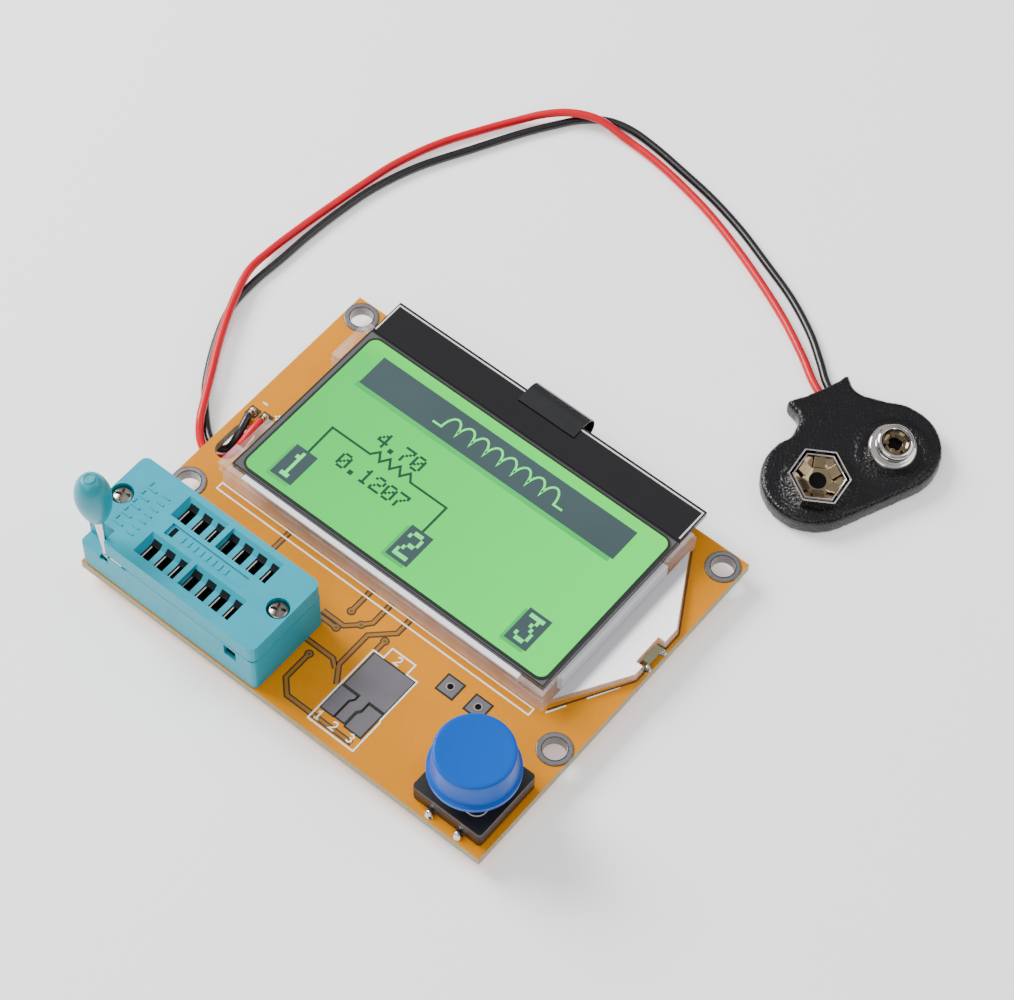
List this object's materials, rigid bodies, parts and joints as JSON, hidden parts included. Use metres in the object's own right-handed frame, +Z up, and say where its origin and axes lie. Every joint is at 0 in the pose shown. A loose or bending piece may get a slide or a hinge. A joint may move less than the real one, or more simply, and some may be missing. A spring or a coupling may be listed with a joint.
{
  "type": "component tester",
  "caption": "Bare-board electronic component tester with a zero-force test socket, a green display, a push button and loose leads that end in a battery connector.",
  "frame": {"origin": "centre of the footprint of the board and what is fixed on it, leads and battery snap left out, on the surface that it stands on", "axes": "+X to the right along the board's long front edge, +Y from the test socket back to the display's cable, +Z up out of the board's component side"},
  "size_m": [0.1024, 0.1166, 0.0278],
  "materials": {
    "solder_mask": "glossy orange-yellow solder mask over copper and fibreglass",
    "tinned_copper": "tin-plated copper",
    "turquoise_plastic": "satin moulded thermoplastic",
    "steel": "zinc-plated steel",
    "contact_bronze": "tin-plated phosphor bronze",
    "light_guide_acrylic": "clear moulded acrylic",
    "white_film": "white diffusing film",
    "display_glass": "clear glass",
    "green_polariser": "yellow-green polarising film",
    "black_tape": "glossy black tape",
    "chip_epoxy": "matt epoxy",
    "cable_polyimide": "dark polyimide film",
    "led_resin": "clear resin",
    "black_plastic": "satin moulded nylon",
    "blue_plastic": "satin moulded ABS",
    "ceramic": "glazed ceramic and resin",
    "tantalum_epoxy": "matt yellow epoxy",
    "red_pvc": "satin PVC insulation",
    "black_pvc": "satin PVC insulation",
    "black_vinyl": "leather-grained soft vinyl",
    "black_fibreboard": "pressed fibreboard",
    "nickel_plate": "bright nickel plate",
    "solder": "bright solder"
  },
  "bodies": {
    "board": {"backlight_led": "led_resin", "black_lead": "black_pvc", "black_lead_joint": "solder", "capacitor_left": "tantalum_epoxy", "capacitor_right": "tantalum_epoxy", "ceramic_resonator": "ceramic", "circuit_board": "solder_mask", "contact_01": "contact_bronze", "contact_02": "contact_bronze", "contact_03": "contact_bronze", "contact_04": "contact_bronze", "contact_05": "contact_bronze", "contact_06": "contact_bronze", "contact_07": "contact_bronze", "contact_08": "contact_bronze", "contact_09": "contact_bronze", "contact_10": "contact_bronze", "contact_11": "contact_bronze", "contact_12": "contact_bronze", "contact_13": "contact_bronze", "contact_14": "contact_bronze", "diffuser_film": "white_film", "display_cable": "cable_polyimide", "driver_chip": "chip_epoxy", "front_glass": "display_glass", "front_polariser": "green_polariser", "ledge_tape": "black_tape", "lever_pin": "steel", "light_guide": "light_guide_acrylic", "microcontroller": "chip_epoxy", "mounting_ring_back_left": "tinned_copper", "mounting_ring_back_right": "tinned_copper", "mounting_ring_front_left": "tinned_copper", "mounting_ring_front_right": "tinned_copper", "rear_glass": "display_glass", "red_lead": "red_pvc", "red_lead_joint": "solder", "reflector_film": "white_film", "snap_board": "black_fibreboard", "snap_cover": "black_vinyl", "snap_socket": "nickel_plate", "snap_stud": "nickel_plate", "socket_base": "turquoise_plastic", "socket_cover": "turquoise_plastic", "socket_screw_left": "steel", "socket_screw_right": "steel", "switch_base": "black_plastic", "switch_dome": "steel", "switch_frame": "black_plastic", "switch_terminal_left": "tinned_copper", "switch_terminal_right": "tinned_copper", "switching_transistor": "chip_epoxy", "voltage_reference": "chip_epoxy", "voltage_regulator": "chip_epoxy"},
    "lever": {"lever_arm": "steel", "lever_knob": "turquoise_plastic"},
    "contact_slider": {"socket_slider": "turquoise_plastic", "lever_link": "steel"},
    "button": {"switch_plunger": "black_plastic", "button_cap": "blue_plastic"}
  },
  "joints": [
    {"name": "lever_turn", "type": "hinge", "parent": "board", "child": "lever", "pos_m": [-0.0316, -0.03025, 0.0093], "axis": [0, -1, 0], "range_deg": [0, 80]},
    {"name": "slider_travel", "type": "slide", "parent": "board", "child": "contact_slider", "axis": [1, 0, 0], "range_m": [0, 0.0005]},
    {"name": "button_press", "type": "slide", "parent": "board", "child": "button", "axis": [0, 0, -1], "range_m": [0, 0.0003], "stiffness_N_per_m": 400, "springref_m": -0.0025, "deforming": ["switch_dome"]}
  ],
  "couplings": [
    {"joint": "lever_turn", "follows": "slider_travel", "rad_per_m": 2792}
  ]
}
